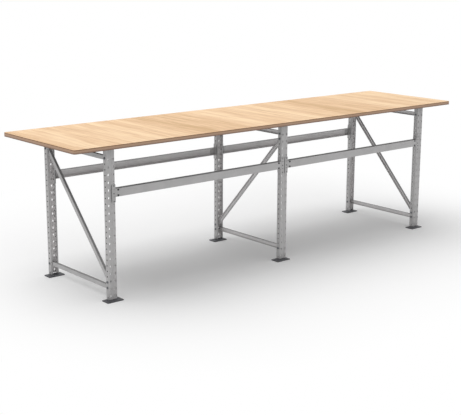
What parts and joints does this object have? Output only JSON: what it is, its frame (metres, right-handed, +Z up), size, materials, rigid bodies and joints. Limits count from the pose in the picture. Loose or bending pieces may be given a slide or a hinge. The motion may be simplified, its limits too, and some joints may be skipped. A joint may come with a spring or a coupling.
{
  "type": "assembly table",
  "caption": "Long free-standing assembly table: a thick wooden top on braced frames of perforated steel uprights, tied together by hooked beams and open underneath.",
  "frame": {"origin": "on the floor under the middle of the top", "axes": "+X along the table's length, to the right as seen from the front; +Y from the front to the rear; +Z up"},
  "size_m": [3.6, 0.88, 1.027],
  "materials": {
    "top": "lacquered pale beech plywood",
    "upright": "galvanised, dull",
    "brace": "galvanised, dull",
    "beam": "galvanised, dull",
    "connector": "galvanised, dull",
    "footplate": "dark grey, satin",
    "bolt": "zinc plated",
    "head_angle": "galvanised, dull"
  },
  "bodies": {
    "root": {"table_top": "top", "upright_left_front": "upright", "footplate_left_front": "footplate", "head_angle_left_front": "head_angle", "upright_left_rear": "upright", "footplate_left_rear": "footplate", "head_angle_left_rear": "head_angle", "cross_low_left": "brace", "cross_top_left": "brace", "diagonal_left": "brace", "bolt_left_low_front": "bolt", "bolt_left_low_rear": "bolt", "bolt_left_top_front": "bolt", "bolt_left_top_rear": "bolt", "bolt_left_diagonal_low": "bolt", "bolt_left_diagonal_top": "bolt", "upright_mid_front": "upright", "footplate_mid_front": "footplate", "head_angle_mid_front": "head_angle", "upright_mid_rear": "upright", "footplate_mid_rear": "footplate", "head_angle_mid_rear": "head_angle", "cross_low_mid": "brace", "cross_top_mid": "brace", "diagonal_mid": "brace", "bolt_mid_low_front": "bolt", "bolt_mid_low_rear": "bolt", "bolt_mid_top_front": "bolt", "bolt_mid_top_rear": "bolt", "bolt_mid_diagonal_low": "bolt", "bolt_mid_diagonal_top": "bolt", "upright_right_front": "upright", "footplate_right_front": "footplate", "head_angle_right_front": "head_angle", "upright_right_rear": "upright", "footplate_right_rear": "footplate", "head_angle_right_rear": "head_angle", "cross_low_right": "brace", "cross_top_right": "brace", "diagonal_right": "brace", "bolt_right_low_front": "bolt", "bolt_right_low_rear": "bolt", "bolt_right_top_front": "bolt", "bolt_right_top_rear": "bolt", "bolt_right_diagonal_low": "bolt", "bolt_right_diagonal_top": "bolt", "beam_left_front": "beam", "connector_left_front_left": "connector", "connector_left_front_right": "connector", "beam_left_rear": "beam", "connector_left_rear_left": "connector", "connector_left_rear_right": "connector", "beam_right_front": "beam", "connector_right_front_left": "connector", "connector_right_front_right": "connector", "beam_right_rear": "beam", "connector_right_rear_left": "connector", "connector_right_rear_right": "connector"}
  },
  "joints": []
}
